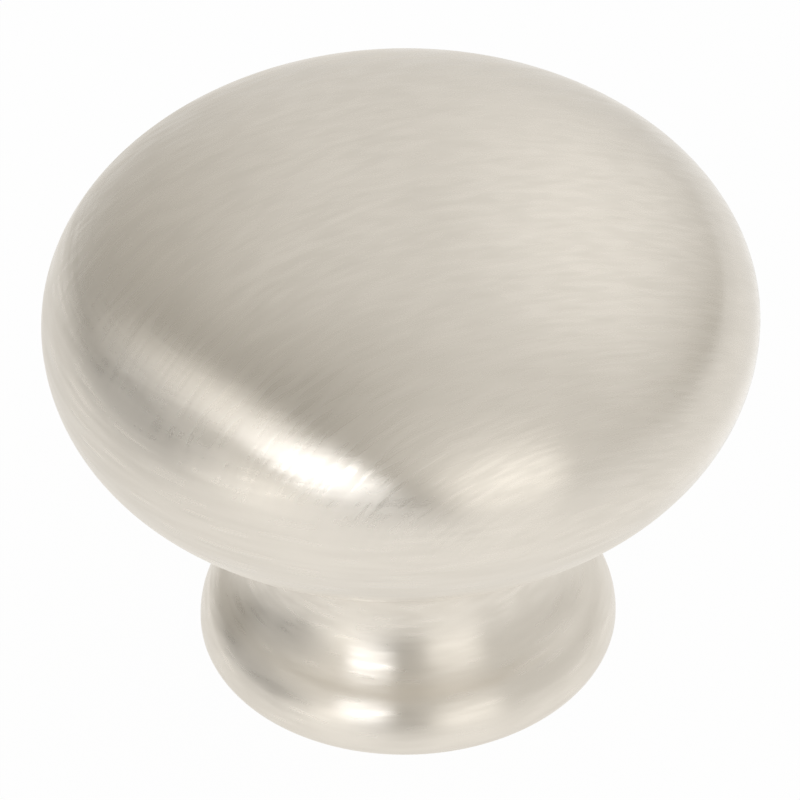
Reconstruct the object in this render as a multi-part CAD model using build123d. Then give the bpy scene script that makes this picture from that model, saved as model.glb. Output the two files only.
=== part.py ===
from build123d import *
import os
from math import atan2, degrees, radians, sqrt, tan

# Outer form of the knob in millimetres, standing on its seat with the axis upright
head_diameter = 31.75
base_diameter = 19.05
projection = 27.0
rim_height = 18.0
rim_roll_radius = 6.5
neck_diameter = 13.5
neck_height = 6.6
foot_shoulder_radius = 2.8
foot_edge_radius = 0.9

# Underside of the foot: a flat seat ring, a shallow recess and a boss round the tapped hole
seat_ring_width = 1.8
recess_depth = 0.7
recess_corner_radius = 0.25
boss_diameter = 8.4
boss_setback = 0.2

# Blind tapped hole for a number 8 machine screw, with its wall at the tap drill's size
tap_drill_diameter = 3.454
tap_wall_length = 11.5
mouth_chamfer = 0.5
drill_point_angle = 118.0

# Share of a quarter round's radius that a curve's handle needs to follow it
quarter_round_handle = 4 / 3 * (sqrt(2) - 1)

# Centres of the rolled rim and of the foot's shoulder, as radius and height
head_radius = head_diameter / 2
base_radius = base_diameter / 2
crown_height = projection - rim_height
rim_centre = (head_radius - rim_roll_radius, rim_height)
shoulder_centre = (base_radius - foot_shoulder_radius, foot_edge_radius)

# The waist is two coves that meet upright at the neck. Each one leaves the neck and runs into
# the round at its other end without a crease, which gives its radius
neck_radius = neck_diameter / 2


def cove_radius_to(round_centre, round_radius):
    """Radius of the cove that touches the neck's upright and a round of the section."""
    overhang = round_centre[0] + round_radius - neck_radius
    rise = round_centre[1] - neck_height
    return (rise**2 / overhang + overhang) / 2 - round_radius


def heading(start, end):
    """Angle in degrees of the line from one point of the section to another."""
    return degrees(atan2(end[1] - start[1], end[0] - start[0]))


upper_cove_radius = cove_radius_to(rim_centre, rim_roll_radius)
lower_cove_radius = cove_radius_to(shoulder_centre, foot_shoulder_radius)
upper_cove_centre = (neck_radius + upper_cove_radius, neck_height)
lower_cove_centre = (neck_radius + lower_cove_radius, neck_height)
rim_start = heading(rim_centre, upper_cove_centre)
shoulder_end = heading(shoulder_centre, lower_cove_centre)

# Half section of the solid body, from the seat out and up to the top of the crown,
# which is a quarter of an ellipse
foot_edge_centre = (base_radius - foot_edge_radius, foot_edge_radius)
foot_edge = CenterArc(foot_edge_centre, foot_edge_radius, 270, 90)
shoulder = CenterArc(shoulder_centre, foot_shoulder_radius, 0, shoulder_end)
lower_cove = CenterArc(lower_cove_centre, lower_cove_radius, 180 + shoulder_end, -shoulder_end)
upper_cove = CenterArc(upper_cove_centre, upper_cove_radius, 180, rim_start)
rolled_rim = CenterArc(rim_centre, rim_roll_radius, rim_start, -rim_start)
crown = Bezier(
    (head_radius, rim_height),
    (head_radius, rim_height + quarter_round_handle * crown_height),
    (quarter_round_handle * head_radius, projection),
    (0, projection),
)
seat = Line((0, 0), foot_edge @ 0)
middle = Line(crown @ 1, (0, 0))
foot_lines = [seat, foot_edge, shoulder, lower_cove]
head_lines = [upper_cove, rolled_rim, crown, middle]
outer_section = make_face(Curve(foot_lines + head_lines))

# Section of the ring-shaped recess, with rounded corners at its floor
seat_outer_radius = base_radius - foot_edge_radius
recess_outer_radius = seat_outer_radius - seat_ring_width
boss_radius = boss_diameter / 2
recess_width = recess_outer_radius - boss_radius
recess_start = Pos(boss_radius, 0)
recess_section = recess_start * Rectangle(recess_width, recess_depth, align=Align.MIN)
recess_section = fillet(recess_section.vertices().group_by(Axis.Y)[-1], recess_corner_radius)

# The boss stands a little behind the seat ring, so that the ring alone meets the drawer front
boss_relief = Rectangle(boss_radius, boss_setback, align=Align.MIN)

# Section of the tapped hole, with a chamfered mouth and the cone that the drill leaves
hole_radius = tap_drill_diameter / 2
wall_start = boss_setback + mouth_chamfer
wall_end = wall_start + tap_wall_length
hole_top = wall_end + hole_radius / tan(radians(drill_point_angle / 2))
hole_outline = Polyline(
    (0, boss_setback),
    (hole_radius + mouth_chamfer, boss_setback),
    (hole_radius, wall_start),
    (hole_radius, wall_end),
    (0, hole_top),
    close=True,
)
hole_section = make_face(hole_outline)

# The knob is one turned body
knob_section = outer_section - recess_section - boss_relief - hole_section
knob = revolve(Plane.XZ * knob_section, Axis.Z, 360)
knob.label = "knob"

os.makedirs("parts", exist_ok=True)
export_step(knob, "parts/knob.step")
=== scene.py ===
from math import atan2, ceil, cos, degrees, pi, radians, sin, sqrt, tan

import bpy
from mathutils import Matrix, Quaternion, Vector


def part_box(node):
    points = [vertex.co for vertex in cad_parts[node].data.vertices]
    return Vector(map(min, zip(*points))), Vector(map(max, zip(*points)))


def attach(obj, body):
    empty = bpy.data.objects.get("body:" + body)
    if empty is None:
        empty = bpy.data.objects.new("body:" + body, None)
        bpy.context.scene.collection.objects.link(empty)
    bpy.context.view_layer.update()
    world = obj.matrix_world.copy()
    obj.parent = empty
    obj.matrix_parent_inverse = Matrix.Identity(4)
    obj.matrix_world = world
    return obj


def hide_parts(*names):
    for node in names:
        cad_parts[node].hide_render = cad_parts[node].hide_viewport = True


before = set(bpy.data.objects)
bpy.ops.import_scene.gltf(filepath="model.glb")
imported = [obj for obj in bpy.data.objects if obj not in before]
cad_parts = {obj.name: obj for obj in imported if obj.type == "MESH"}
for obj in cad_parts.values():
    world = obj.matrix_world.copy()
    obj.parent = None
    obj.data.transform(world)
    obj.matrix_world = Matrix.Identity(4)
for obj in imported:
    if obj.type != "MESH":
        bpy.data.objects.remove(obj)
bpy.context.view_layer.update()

MM = 0.001

# Outer form of the knob, the same sizes as the solid, from the seat at height zero
high_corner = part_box("knob")[1]
HEAD_RADIUS = high_corner.x
PROJECTION = high_corner.z
BASE_RADIUS = 19.05 / 2 * MM
RIM_HEIGHT = 18.0 * MM
RIM_ROLL_RADIUS = 6.5 * MM
NECK_RADIUS = 13.5 / 2 * MM
NECK_HEIGHT = 6.6 * MM
FOOT_SHOULDER_RADIUS = 2.8 * MM
FOOT_EDGE_RADIUS = 0.9 * MM

# Underside of the foot
SEAT_RING_WIDTH = 1.8 * MM
RECESS_DEPTH = 0.7 * MM
RECESS_CORNER_RADIUS = 0.25 * MM
BOSS_RADIUS = 8.4 / 2 * MM
BOSS_SETBACK = 0.2 * MM

# Blind hole, as the tap drill leaves it
TAP_RADIUS = 3.454 / 2 * MM
TAP_WALL_LENGTH = 11.5 * MM
MOUTH_CHAMFER = 0.5 * MM
DRILL_POINT_ANGLE = 118.0

# Number 8-32 thread: 32 turns to the inch, cut into the tap drill's wall. Its flanks are steeper
# than a plain zigzag's, which leaves flats at crest and root. It runs in and out over part turns
THREAD_PITCH = 25.4 / 32 * MM
THREAD_MAJOR_RADIUS = 4.166 / 2 * MM
THREAD_STEEPNESS = 1.25
THREAD_RUN_IN_TURNS = 0.4
THREAD_RUN_OUT_TURNS = 1.5

# Fineness of the mesh
SEGMENTS = 192
RINGS_PER_TURN = 10
ARC_STEP = radians(2.2)
FEWEST_ARC_STEPS = 4
CROWN_FINENESS = 2
SHARP_ANGLE = radians(32)

# Brushing: long arcs over the head, and strokes round the axis on its underside, waist and foot.
# The arcs climb steeply on the left, level out to the right and turn a little down the front
STROKE_TILT = radians(42)
STROKE_SLOPE = 0.180
SLOPE_BY_SIDE = -0.0273 / MM
SLOPE_BY_SIDE_SQUARED = 0.00072 / MM**2
SLOPE_BY_DROP = -0.0073 / MM
SLOPE_BY_DROP_SQUARED = 0.00162 / MM**2
ARC_EDGE_LOW = 14.1 * MM
ARC_EDGE_HIGH = 22.3 * MM
ARC_EDGE_LEAN = (0.25, 0.064, 1.0)

# Satin nickel: relief of the strokes, tones between them, and gloss with its grain
BROAD_STROKE_WEIGHT = 1.5
RELIEF_STRENGTH = 0.35
RELIEF_DEPTH = 0.022 * MM
DARK_NICKEL = (0.780, 0.729, 0.646, 1)
LIGHT_NICKEL = (0.810, 0.757, 0.673, 1)
TONE_NOISE_RANGE = (0.25, 0.75)
HEAD_ROUGHNESS = 0.28
FOOT_ROUGHNESS = 0.305
GRAIN_ROUGHNESS = 0.04
GRAIN_NOISE_RANGE = (0.2, 0.8)
SPREAD_ACROSS_STROKES = 0.88

# Camera, from the outline in the photograph
IMAGE_SIZE = 800
PIXELS_PER_MM = 22.38
CAMERA_DISTANCE = 280 * MM
CAMERA_ELEVATION = radians(39.06)
CAMERA_ROLL = radians(1.456)
AIM_HEIGHT = 13 * MM
AIM_PIXEL = (402.84, 403.88)
SENSOR_WIDTH = 36.0
NEAREST_SEEN = 0.01
FURTHEST_SEEN = 10.0

# The floor is white in a lane as wide as the photograph, a little greyer on both sides of it,
# and greyer still further off
FLOOR_HALF_WIDTH = 1.5
FLOOR_COLOUR = (0.95, 0.95, 0.95, 1)
FLOOR_WHITE_SHARE = 0.97
FLOOR_WHITE_RADIUS = 50 * MM
FLOOR_DIM_RADIUS = 150 * MM
FLOOR_DIM_LEVEL = 0.82
FLOOR_LANE_HALF = 21 * MM
FLOOR_SIDE_REACH = 40 * MM
FLOOR_LEFT_LEVEL = 0.91
FLOOR_RIGHT_LEVEL = 0.88

# Each lamp is built up of ovals in steps of size, a small gap behind each other, for a soft edge.
# The key is a little cooler than the other lamps
LAMP_DISTANCE = 0.5
LAMP_STEPS = (0.8, 1.0, 1.2)
LAMP_GAP = 0.004
PLAIN_LIGHT = (1.0, 1.0, 1.0)
COOL_LIGHT = (1.0, 1.03, 1.10)

# The room's plain level, and its colour, which is warmer where the room is darker
ROOM_LEVEL = 0.413
ROOM_DARK_LEVEL = 0.35
ROOM_LIGHT_LEVEL = 0.95
ROOM_DARK_COLOUR = (1.0, 0.972, 0.915, 1)
ROOM_LIGHT_COLOUR = (1, 1, 1, 1)


def arc(centre, radius, start, end):
    """Points of a round of the section, from one angle in degrees to another."""
    start, end = radians(start), radians(end)
    steps = max(FEWEST_ARC_STEPS, ceil(abs(end - start) / ARC_STEP))
    angles = [start + (end - start) * i / steps for i in range(steps + 1)]
    return [(centre[0] + radius * cos(a), centre[1] + radius * sin(a)) for a in angles]


def heading(start, end):
    """Angle in degrees of the line from one point of the section to another."""
    return degrees(atan2(end[1] - start[1], end[0] - start[0]))


def cove_radius_to(round_centre, round_radius):
    """Radius of the cove that touches the neck's upright and a round of the section."""
    overhang = round_centre[0] + round_radius - NECK_RADIUS
    rise = round_centre[1] - NECK_HEIGHT
    return (rise**2 / overhang + overhang) / 2 - round_radius


def outer_section():
    """Radius and height of the outer form, from the top of the crown down to the seat."""
    crown_height = PROJECTION - RIM_HEIGHT
    steps = ceil(pi / 2 / ARC_STEP) * CROWN_FINENESS
    angles = [pi / 2 * (1 - i / steps) for i in range(1, steps + 1)]
    crown = [(HEAD_RADIUS * cos(a), RIM_HEIGHT + crown_height * sin(a)) for a in angles]
    rim_centre = (HEAD_RADIUS - RIM_ROLL_RADIUS, RIM_HEIGHT)
    shoulder_centre = (BASE_RADIUS - FOOT_SHOULDER_RADIUS, FOOT_EDGE_RADIUS)
    edge_centre = (BASE_RADIUS - FOOT_EDGE_RADIUS, FOOT_EDGE_RADIUS)
    upper = cove_radius_to(rim_centre, RIM_ROLL_RADIUS)
    lower = cove_radius_to(shoulder_centre, FOOT_SHOULDER_RADIUS)
    upper_centre = (NECK_RADIUS + upper, NECK_HEIGHT)
    lower_centre = (NECK_RADIUS + lower, NECK_HEIGHT)
    rim_end = heading(rim_centre, upper_centre)
    shoulder_end = heading(shoulder_centre, lower_centre)
    rolled_rim = arc(rim_centre, RIM_ROLL_RADIUS, 0, rim_end)
    upper_cove = arc(upper_centre, upper, 180 + rim_end, 180)
    lower_cove = arc(lower_centre, lower, 180, 180 + shoulder_end)
    shoulder = arc(shoulder_centre, FOOT_SHOULDER_RADIUS, shoulder_end, 0)
    foot_edge = arc(edge_centre, FOOT_EDGE_RADIUS, 0, -90)
    runs = [rolled_rim, upper_cove, lower_cove, shoulder, foot_edge]
    return crown + [point for run in runs for point in run[1:]]


def underside_section():
    """Radius and height of the seat ring, recess, boss and chamfered mouth, towards the axis."""
    recess_outer = BASE_RADIUS - FOOT_EDGE_RADIUS - SEAT_RING_WIDTH
    corner = RECESS_CORNER_RADIUS
    floor_start = RECESS_DEPTH - corner
    outer_corner = arc((recess_outer - corner, floor_start), corner, 0, 90)
    inner_corner = arc((BOSS_RADIUS + corner, floor_start), corner, 90, 180)
    mouth = TAP_RADIUS + MOUTH_CHAMFER
    boss = [(BOSS_RADIUS, BOSS_SETBACK), (mouth, BOSS_SETBACK)]
    return [(recess_outer, 0.0)] + outer_corner + inner_corner + boss


def held(value):
    """The value held between 0 and 1."""
    return min(1, max(0, value))


def thread_depth(height, angle, bottom, top):
    """Depth of the thread below the drilled wall, running out at both ends."""
    phase = (height / THREAD_PITCH - angle / (2 * pi)) % 1
    wave = 2 * (0.5 - abs(phase - 0.5))
    cut = held(THREAD_STEEPNESS * wave - (THREAD_STEEPNESS - 1) / 2)
    run_in = held((height - bottom) / (THREAD_RUN_IN_TURNS * THREAD_PITCH))
    run_out = held((top - height) / (THREAD_RUN_OUT_TURNS * THREAD_PITCH))
    return cut * run_in * run_out * (THREAD_MAJOR_RADIUS - TAP_RADIUS)


def knob_rings():
    """Each ring of the knob's mesh as (height, radius at every segment)."""
    section = outer_section() + underside_section()
    rings = [(z, [r] * SEGMENTS) for r, z in section]
    bottom = BOSS_SETBACK + MOUTH_CHAMFER
    top = bottom + TAP_WALL_LENGTH
    count = round(TAP_WALL_LENGTH / THREAD_PITCH * RINGS_PER_TURN)
    angles = [2 * pi * k / SEGMENTS for k in range(SEGMENTS)]
    for i in range(count + 1):
        z = bottom + TAP_WALL_LENGTH * i / count
        rings.append((z, [TAP_RADIUS + thread_depth(z, a, bottom, top) for a in angles]))
    return rings


def knob_mesh():
    """The knob as one closed mesh, with the length along its section kept on each point."""
    rings = knob_rings()
    drill_tip = rings[-1][0] + TAP_RADIUS / tan(radians(DRILL_POINT_ANGLE / 2))
    points = [(0, 0, PROJECTION)]
    lengths = [0.0]
    travelled = 0.0
    last = (0.0, PROJECTION)
    for z, radii in rings:
        travelled += sqrt((radii[0] - last[0]) ** 2 + (z - last[1]) ** 2)
        last = (radii[0], z)
        for k, r in enumerate(radii):
            angle = 2 * pi * k / SEGMENTS
            points.append((r * cos(angle), r * sin(angle), z))
            lengths.append(travelled)
    points.append((0, 0, drill_tip))
    lengths.append(travelled + TAP_RADIUS)
    tip = len(points) - 1
    final = 1 + (len(rings) - 1) * SEGMENTS
    faces = []
    for k in range(SEGMENTS):
        n = (k + 1) % SEGMENTS
        faces.append((0, 1 + k, 1 + n))
        for i in range(len(rings) - 1):
            here = 1 + i * SEGMENTS
            below = here + SEGMENTS
            faces.append((here + k, below + k, below + n, here + n))
        faces.append((final + k, tip, final + n))
    mesh = bpy.data.meshes.new("knob_body")
    mesh.from_pydata(points, [], faces)
    along = mesh.attributes.new("section_length", "FLOAT", "POINT")
    along.data.foreach_set("value", lengths)
    mesh.shade_smooth()
    mesh.set_sharp_from_angle(angle=SHARP_ANGLE)
    return mesh


class Graph:
    """Short ways to add nodes to a node tree and join them."""

    def __init__(self, tree):
        self.tree = tree
        tree.nodes.clear()

    def add(self, kind, inputs=(), **settings):
        """A node with its settings made and its inputs set, or linked where a socket is given."""
        node = self.tree.nodes.new(kind)
        for name, value in settings.items():
            setattr(node, name, value)
        for key, value in dict(inputs).items():
            if isinstance(value, bpy.types.NodeSocket):
                self.tree.links.new(value, node.inputs[key])
            else:
                node.inputs[key].default_value = value
        return node

    def math(self, operation, a, b=0.0):
        """One sum of two numbers, or of one where the operation takes one."""
        return self.add("ShaderNodeMath", {0: a, 1: b}, operation=operation).outputs[0]

    def polynomial(self, value, constant, linear, square):
        """The constant, plus the value times linear, plus its square times square."""
        inner = self.math("ADD", self.math("MULTIPLY", value, square), linear)
        return self.math("ADD", self.math("MULTIPLY", value, inner), constant)

    def vector(self, operation, a, b=(0, 0, 0)):
        """One sum of two vectors, which gives a vector, or a number for a length or a product."""
        node = self.add("ShaderNodeVectorMath", {0: a, 1: b}, operation=operation)
        return node.outputs["Value" if operation in ("DOT_PRODUCT", "LENGTH") else "Vector"]

    def join(self, x, y, z):
        """A vector from its three parts."""
        return self.add("ShaderNodeCombineXYZ", {0: x, 1: y, 2: z}).outputs[0]

    def scaled(self, vector, factor):
        """A vector times a number."""
        node = self.add("ShaderNodeVectorMath", {0: vector, "Scale": factor}, operation="SCALE")
        return node.outputs["Vector"]

    def ramp(self, value, start, end, low=0.0, high=1.0):
        """A smooth step from low at the start to high at the end."""
        inputs = {"Value": value, "From Min": start, "From Max": end, "To Min": low, "To Max": high}
        node = self.add("ShaderNodeMapRange", inputs, interpolation_type="SMOOTHSTEP")
        return node.outputs["Result"]

    def mix(self, factor, a, b):
        """A number between a and b."""
        inputs = {"Factor": factor, "A": a, "B": b}
        return self.add("ShaderNodeMix", inputs, data_type="FLOAT").outputs["Result"]

    def mix_colours(self, factor, a, b):
        """A colour between a and b, by number, because the node has sockets of equal names."""
        node = self.add("ShaderNodeMix", {"Factor": factor, 6: a, 7: b}, data_type="RGBA")
        return node.outputs[2]

    def noise(self, vector, detail):
        """Noise about one unit coarse, from 0 to 1."""
        inputs = {"Vector": vector, "Scale": 1.0, "Detail": detail, "Roughness": 0.5}
        return self.add("ShaderNodeTexNoise", inputs).outputs[0]


def head_arcs(g, place, sideways):
    """Places across and along the arcs over the head, and the direction across them."""
    # The arcs are level lines of the drop from the crown along a tilted plane, less their climb
    plane = (0, cos(STROKE_TILT), sin(STROKE_TILT))
    depth = (0, -sin(STROKE_TILT), cos(STROKE_TILT))
    crown_level = PROJECTION * sin(STROKE_TILT)
    drop = g.math("SUBTRACT", g.vector("DOT_PRODUCT", place, plane), crown_level)
    head_depth = g.vector("DOT_PRODUCT", place, depth)
    by_side = g.polynomial(sideways, STROKE_SLOPE, SLOPE_BY_SIDE, SLOPE_BY_SIDE_SQUARED)
    by_drop = g.polynomial(drop, 0.0, SLOPE_BY_DROP, SLOPE_BY_DROP_SQUARED)
    slope = g.math("ADD", by_side, by_drop)
    climb = g.polynomial(sideways, STROKE_SLOPE, SLOPE_BY_SIDE / 2, SLOPE_BY_SIDE_SQUARED / 3)
    climb = g.math("MULTIPLY", sideways, g.math("ADD", climb, by_drop))
    head_across = g.math("SUBTRACT", drop, climb)
    bend = g.polynomial(drop, SLOPE_BY_DROP, 2 * SLOPE_BY_DROP_SQUARED, 0.0)
    rise = g.math("SUBTRACT", 1.0, g.math("MULTIPLY", sideways, bend))
    rise_y = g.math("MULTIPLY", rise, plane[1])
    rise_z = g.math("MULTIPLY", rise, plane[2])
    steepest = g.join(g.math("MULTIPLY", slope, -1.0), rise_y, rise_z)
    return head_across, head_depth, steepest


def across_strokes(g, round_axis, steepest, on_head):
    """Direction across the strokes on the surface, in which the gloss spreads."""
    # Where the two kinds of stroke meet, doubled angles are mixed, because a stroke has a
    # direction but no front end
    normal = g.add("ShaderNodeNewGeometry").outputs["Normal"]
    up_section = g.vector("NORMALIZE", g.vector("CROSS_PRODUCT", normal, round_axis))
    head_tangent = g.vector("CROSS_PRODUCT", normal, g.vector("CROSS_PRODUCT", steepest, normal))
    head_tangent = g.vector("NORMALIZE", head_tangent)
    up = g.vector("DOT_PRODUCT", head_tangent, up_section)
    aside = g.vector("DOT_PRODUCT", head_tangent, round_axis)
    double_cos = g.math("SUBTRACT", g.math("MULTIPLY", up, up), g.math("MULTIPLY", aside, aside))
    double_sin = g.math("MULTIPLY", g.math("MULTIPLY", up, aside), 2.0)
    double_cos = g.mix(on_head, 1.0, double_cos)
    double_sin = g.mix(on_head, 0.0, double_sin)
    angle = g.math("MULTIPLY", g.math("ARCTAN2", double_sin, double_cos), 0.5)
    along_section = g.scaled(up_section, g.math("COSINE", angle))
    along_ring = g.scaled(round_axis, g.math("SINE", angle))
    return g.vector("NORMALIZE", g.vector("ADD", along_section, along_ring))


def satin_nickel():
    """Brushed satin nickel: fine strokes in relief, with gloss spread across the strokes."""
    material = bpy.data.materials.new("satin_nickel")
    material.use_nodes = True
    g = Graph(material.node_tree)
    place = g.add("ShaderNodeTexCoord").outputs["Object"]
    axes = g.add("ShaderNodeSeparateXYZ", {0: place})
    sideways = axes.outputs["X"]
    length = g.add("ShaderNodeAttribute", attribute_name="section_length").outputs["Fac"]
    head_across, head_depth, steepest = head_arcs(g, place, sideways)

    # Share of the head's arcs at a point: they give way slowly to the strokes round the axis
    edge = g.vector("DOT_PRODUCT", place, ARC_EDGE_LEAN)
    on_head = g.ramp(edge, ARC_EDGE_LOW, ARC_EDGE_HIGH)

    # Directions from the axis and round it, for the strokes of the underside, foot and waist
    outward = g.vector("NORMALIZE", g.join(sideways, axes.outputs["Y"], 0.0))
    outward_parts = g.add("ShaderNodeSeparateXYZ", {0: outward})
    ring_x = g.math("MULTIPLY", axes.outputs["Y"], -1.0)
    round_axis = g.vector("NORMALIZE", g.join(ring_x, sideways, 0.0))

    # Where both kinds of stroke share a place, their contrast is made up to the full one
    evened = g.math("INVERSE_SQRT", g.polynomial(on_head, 1.0, -2.0, 2.0))

    def strokes(across, along, detail):
        """Noise with this many strokes to the millimetre across and along them."""
        fine = across / MM
        long = along / MM
        head_x = g.math("MULTIPLY", head_across, fine)
        head_y = g.math("MULTIPLY", sideways, long)
        head_z = g.math("MULTIPLY", head_depth, long)
        head = g.noise(g.join(head_x, head_y, head_z), detail)
        foot_x = g.math("MULTIPLY", outward_parts.outputs["X"], long * NECK_RADIUS)
        foot_y = g.math("MULTIPLY", outward_parts.outputs["Y"], long * NECK_RADIUS)
        foot_z = g.math("MULTIPLY", length, fine)
        foot = g.noise(g.join(foot_x, foot_y, foot_z), detail)
        mixed = g.math("SUBTRACT", g.mix(on_head, foot, head), 0.5)
        return g.math("ADD", g.math("MULTIPLY", mixed, evened), 0.5)

    fine_strokes = strokes(across=4.0, along=0.80, detail=0.5)
    broad_strokes = strokes(across=1.7, along=0.45, detail=1.0)
    broad_relief = g.math("MULTIPLY", broad_strokes, BROAD_STROKE_WEIGHT)
    relief = g.math("ADD", fine_strokes, broad_relief)
    bump_inputs = {"Strength": RELIEF_STRENGTH, "Distance": RELIEF_DEPTH, "Height": relief}
    bump = g.add("ShaderNodeBump", bump_inputs)

    tone = g.ramp(broad_strokes, *TONE_NOISE_RANGE)
    grain = g.ramp(fine_strokes, *GRAIN_NOISE_RANGE, -GRAIN_ROUGHNESS, GRAIN_ROUGHNESS)
    roughness = g.math("ADD", grain, g.mix(on_head, FOOT_ROUGHNESS, HEAD_ROUGHNESS))
    shader = g.add(
        "ShaderNodeBsdfPrincipled",
        {
            "Base Color": g.mix_colours(tone, DARK_NICKEL, LIGHT_NICKEL),
            "Metallic": 1.0,
            "Roughness": roughness,
            "Anisotropic": SPREAD_ACROSS_STROKES,
            "Tangent": across_strokes(g, round_axis, steepest, on_head),
            "Normal": bump.outputs[0],
        },
    )
    g.add("ShaderNodeOutputMaterial", {"Surface": shader.outputs[0]})
    return material


knob = bpy.data.objects.new("knob_body", knob_mesh())
bpy.context.scene.collection.objects.link(knob)
knob.data.materials.append(satin_nickel())
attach(knob, "root")
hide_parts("knob")


def direction(azimuth, elevation):
    """Unit vector from the knob: azimuth 0 is towards the camera's side and 90 to its right."""
    a, e = radians(azimuth), radians(elevation)
    return Vector((cos(e) * sin(a), -cos(e) * cos(a), sin(e)))


def pale_floor():
    """A floor that is white to the camera and in the metal, and keeps the knob's shadow."""
    material = bpy.data.materials.new("pale_floor")
    material.use_nodes = True
    g = Graph(material.node_tree)
    path = g.add("ShaderNodeLightPath")
    seen = g.math("MAXIMUM", path.outputs["Is Camera Ray"], path.outputs["Is Glossy Ray"])
    seen = g.math("MAXIMUM", seen, path.outputs["Is Transmission Ray"])
    diffuse = g.add("ShaderNodeBsdfDiffuse", {"Color": FLOOR_COLOUR})
    place = g.add("ShaderNodeTexCoord").outputs["Object"]
    away = g.vector("LENGTH", place)
    aside = g.add("ShaderNodeSeparateXYZ", {0: place}).outputs["X"]
    further = g.ramp(away, FLOOR_WHITE_RADIUS, FLOOR_DIM_RADIUS, 1.0, FLOOR_DIM_LEVEL)
    left = g.ramp(aside, -FLOOR_SIDE_REACH, -FLOOR_LANE_HALF, FLOOR_LEFT_LEVEL, 1.0)
    right = g.ramp(aside, FLOOR_LANE_HALF, FLOOR_SIDE_REACH, 1.0, FLOOR_RIGHT_LEVEL)
    strength = g.math("MINIMUM", further, g.math("MINIMUM", left, right))
    white = g.add("ShaderNodeEmission", {"Color": (1, 1, 1, 1), "Strength": strength})
    share = g.math("MULTIPLY", seen, FLOOR_WHITE_SHARE)
    lit = g.add("ShaderNodeMixShader", {0: share, 1: diffuse.outputs[0], 2: white.outputs[0]})

    # From below the floor is clear, so that the knob's underside can be seen
    clear = g.add("ShaderNodeBsdfTransparent")
    below = g.add("ShaderNodeNewGeometry").outputs["Backfacing"]
    surface = g.add("ShaderNodeMixShader", {0: below, 1: lit.outputs[0], 2: clear.outputs[0]})
    g.add("ShaderNodeOutputMaterial", {"Surface": surface.outputs[0]})
    return material


def floor():
    """A wide flat floor at the height of the knob's seat."""
    half = FLOOR_HALF_WIDTH
    corners = [(-half, -half, 0), (half, -half, 0), (half, half, 0), (-half, half, 0)]
    mesh = bpy.data.meshes.new("floor")
    mesh.from_pydata(corners, [], [(0, 1, 2, 3)])
    mesh.materials.append(pale_floor())
    plane = bpy.data.objects.new("floor", mesh)
    bpy.context.scene.collection.objects.link(plane)


def softbox(name, azimuth, elevation, width, height, radiance, roll=0.0, colour=PLAIN_LIGHT):
    """An oval lamp that faces the knob, as bright as radiance says and softer towards its edge."""
    aim = Vector((0, 0, AIM_HEIGHT))
    out = direction(azimuth, elevation)
    turn = Quaternion((0, 0, 1), radians(roll))
    for number, size in enumerate(LAMP_STEPS):
        light = bpy.data.lights.new(f"{name}_{number}", "AREA")
        light.shape = "ELLIPSE"
        light.size = width * size
        light.size_y = height * size
        light.color = colour

        # Power is radiance times pi times the oval's area
        light.energy = radiance / len(LAMP_STEPS) * pi * pi / 4 * light.size * light.size_y
        lamp = bpy.data.objects.new(f"{name}_{number}", light)
        lamp.location = aim + out * (LAMP_DISTANCE + LAMP_GAP * number)
        lamp.rotation_euler = (out.to_track_quat("Z", "Y") @ turn).to_euler()
        lamp.visible_camera = False
        bpy.context.scene.collection.objects.link(lamp)


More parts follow.
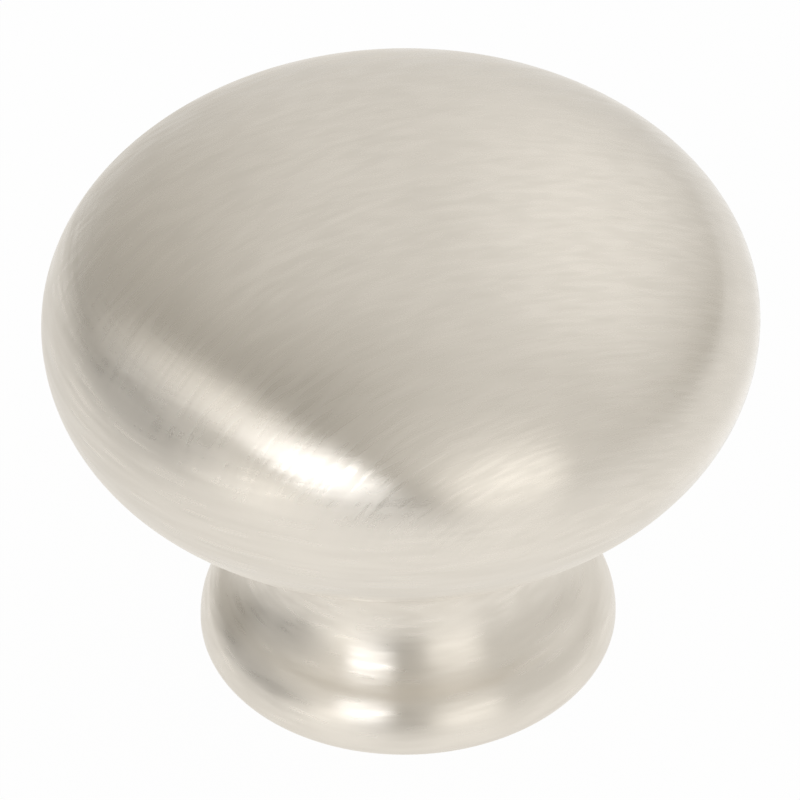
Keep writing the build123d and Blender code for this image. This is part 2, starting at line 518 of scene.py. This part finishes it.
def studio():
    """A soft grey room, lighter behind and to the right, darker on the left and low in front."""
    world = bpy.data.worlds.new("studio")
    world.use_nodes = True
    bpy.context.scene.world = world
    g = Graph(world.node_tree)
    ray = g.add("ShaderNodeTexCoord").outputs["Generated"]

    def patch(level, azimuth, elevation, core, edge, change):
        """The room's level with a round patch changed: fully in its core, and not past its edge."""
        facing = g.vector("DOT_PRODUCT", ray, tuple(direction(azimuth, elevation)))
        added = g.ramp(facing, cos(radians(edge)), cos(radians(core)), 0.0, change)
        return g.math("ADD", added, level)

    level = patch(ROOM_LEVEL, azimuth=126, elevation=30, core=9, edge=45, change=0.20)
    level = patch(level, azimuth=184, elevation=34, core=20, edge=76, change=0.41)
    level = patch(level, azimuth=-124, elevation=16, core=5, edge=50, change=-0.24)
    level = patch(level, azimuth=52, elevation=37, core=7, edge=69, change=0.32)
    level = patch(level, azimuth=-77, elevation=3, core=19, edge=38, change=-0.32)
    level = patch(level, azimuth=-8, elevation=9, core=4, edge=20, change=-0.22)
    level = g.math("MAXIMUM", level, 0.0)
    lightness = g.ramp(level, ROOM_DARK_LEVEL, ROOM_LIGHT_LEVEL)
    tint = g.mix_colours(lightness, ROOM_DARK_COLOUR, ROOM_LIGHT_COLOUR)
    sky = g.add("ShaderNodeBackground", {"Color": tint, "Strength": level})
    g.add("ShaderNodeOutputWorld", {"Surface": sky.outputs[0]})


def camera():
    """The camera that took the photograph, found from the knob's outline."""
    lens = bpy.data.cameras.new("camera")
    lens.sensor_width = SENSOR_WIDTH
    lens.lens = PIXELS_PER_MM / MM * CAMERA_DISTANCE / IMAGE_SIZE * SENSOR_WIDTH
    lens.clip_start = NEAREST_SEEN
    lens.clip_end = FURTHEST_SEEN
    back = direction(0, degrees(CAMERA_ELEVATION))
    right = Vector((1, 0, 0))
    up = back.cross(right)
    aim = Vector((0, 0, AIM_HEIGHT))
    eye = aim + back * CAMERA_DISTANCE
    sideways = right * cos(CAMERA_ROLL) - up * sin(CAMERA_ROLL)
    upright = right * sin(CAMERA_ROLL) + up * cos(CAMERA_ROLL)
    off_x = (IMAGE_SIZE / 2 - AIM_PIXEL[0]) / PIXELS_PER_MM * MM
    off_y = (AIM_PIXEL[1] - IMAGE_SIZE / 2) / PIXELS_PER_MM * MM
    look = (eye - (aim + sideways * off_x + upright * off_y)).normalized()
    side = upright.cross(look).normalized()
    top = look.cross(side)
    turn = Matrix((side, top, look)).transposed().to_4x4()
    view = bpy.data.objects.new("camera", lens)
    view.matrix_world = Matrix.Translation(eye) @ turn
    bpy.context.scene.collection.objects.link(view)
    bpy.context.scene.camera = view


floor()
studio()
softbox(
    "key",
    azimuth=-24.7,
    elevation=24.9,
    width=0.243,
    height=0.148,
    radiance=3.10,
    roll=9.0,
    colour=COOL_LIGHT,
)
softbox(
    "left_low",
    azimuth=-51.3,
    elevation=1.8,
    width=0.439,
    height=0.128,
    radiance=1.51,
    roll=23.7,
)
softbox(
    "left_high",
    azimuth=-74.5,
    elevation=29.4,
    width=0.694,
    height=0.305,
    radiance=0.59,
    roll=24.0,
)
softbox(
    "right",
    azimuth=29.2,
    elevation=12.4,
    width=0.325,
    height=0.322,
    radiance=0.62,
    roll=-8.4,
)
camera()
bpy.context.scene.view_settings.view_transform = "Standard"
